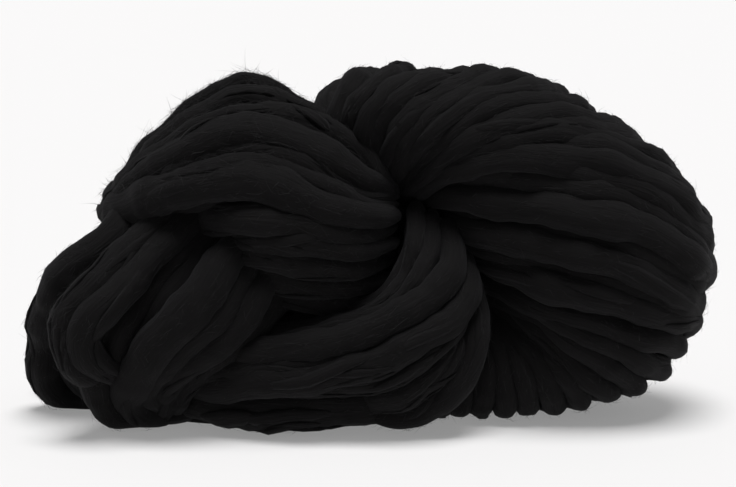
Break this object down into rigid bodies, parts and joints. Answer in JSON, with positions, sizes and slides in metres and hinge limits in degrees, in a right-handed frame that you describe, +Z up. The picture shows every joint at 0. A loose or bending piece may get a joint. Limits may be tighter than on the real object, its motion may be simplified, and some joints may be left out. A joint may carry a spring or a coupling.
{
  "type": "chunky roving yarn hank",
  "caption": "Hank of thick unspun wool roving, twisted on itself and tucked, lying on its side.",
  "frame": {"origin": "on the surface it rests on, under the middle of its box", "axes": "+X along the hank, from the tucked end loops towards the large fanned fold; +Y from its front to its back; +Z up"},
  "size_m": [0.4322, 0.174, 0.2208],
  "materials": {
    "wool": "matte unspun wool fibre, dyed black, with a soft halo of loose fibres"
  },
  "bodies": {
    "root": {"hank": "wool"}
  },
  "joints": []
}
